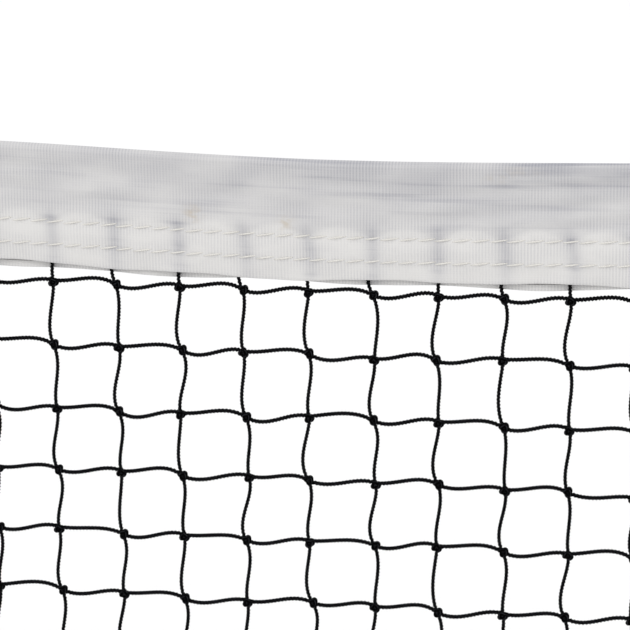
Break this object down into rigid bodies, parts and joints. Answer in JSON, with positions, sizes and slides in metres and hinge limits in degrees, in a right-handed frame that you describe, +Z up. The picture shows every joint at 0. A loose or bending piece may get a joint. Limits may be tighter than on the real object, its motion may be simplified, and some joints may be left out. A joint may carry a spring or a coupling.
{
  "type": "tennis net",
  "caption": "Full-width court net: black knotted mesh under a white sewn headband on a steel cable with an eye at each end, with dark side and bottom bands and removable end dowels.",
  "frame": {"origin": "on the ground under the middle of the net", "axes": "+X along the net, +Y across it, +Z up; the shorter wall of the headband faces -Y"},
  "size_m": [13.7, 0.0352, 1.0779],
  "materials": {
    "headband_cloth": "white ribbed polyester, matt",
    "headband_thread": "white twisted sewing thread",
    "net_twine": "black braided polyethylene twine",
    "edge_cloth": "black coated polyester, matt",
    "edge_thread": "black twisted sewing thread",
    "bottom_rope": "black braided rope",
    "cable_vinyl": "smooth black vinyl",
    "wire_rope": "galvanised strands",
    "galvanised_steel": "galvanised, slightly dull",
    "pressed_aluminium": "pressed, with die marks",
    "eyelet_brass": "plain brass, slightly dulled",
    "dowel_rod": "pultruded glass fibre, satin",
    "cap_rubber": "moulded rubber"
  },
  "bodies": {
    "cable": {"cable_core": "wire_rope", "cable_jacket": "cable_vinyl", "thimble_left": "galvanised_steel", "thimble_right": "galvanised_steel", "cable_sleeves_left": "pressed_aluminium", "cable_sleeves_right": "pressed_aluminium"},
    "net": {"headband": "headband_cloth", "headband_thread_upper": "headband_thread", "headband_thread_lower": "headband_thread", "netting_upright_twines": "net_twine", "netting_level_twines": "net_twine", "bottom_band": "edge_cloth", "bottom_band_thread": "edge_thread", "bottom_line": "bottom_rope", "side_band_left": "edge_cloth", "side_band_right": "edge_cloth", "side_band_thread_left": "edge_thread", "side_band_thread_right": "edge_thread", "dowel_pocket_left": "edge_cloth", "dowel_pocket_right": "edge_cloth", "pocket_thread_left": "edge_thread", "pocket_thread_right": "edge_thread", "eyelets_left": "eyelet_brass", "eyelets_right": "eyelet_brass", "eyelet_washers_left": "eyelet_brass", "eyelet_washers_right": "eyelet_brass"},
    "dowel_left": {"dowel_left": "dowel_rod", "dowel_caps_left": "cap_rubber"},
    "dowel_right": {"dowel_right": "dowel_rod", "dowel_caps_right": "cap_rubber"}
  },
  "joints": [
    {"name": "net_swing", "type": "hinge", "parent": "cable", "child": "net", "pos_m": [0, 0, 1.0657], "axis": [1, 0, 0], "range_deg": [-30, 30]},
    {"name": "dowel_left_slide", "type": "slide", "parent": "net", "child": "dowel_left", "axis": [0, 0, 1], "range_m": [0, 1.03]},
    {"name": "dowel_right_slide", "type": "slide", "parent": "net", "child": "dowel_right", "axis": [0, 0, 1], "range_m": [0, 1.03]}
  ]
}
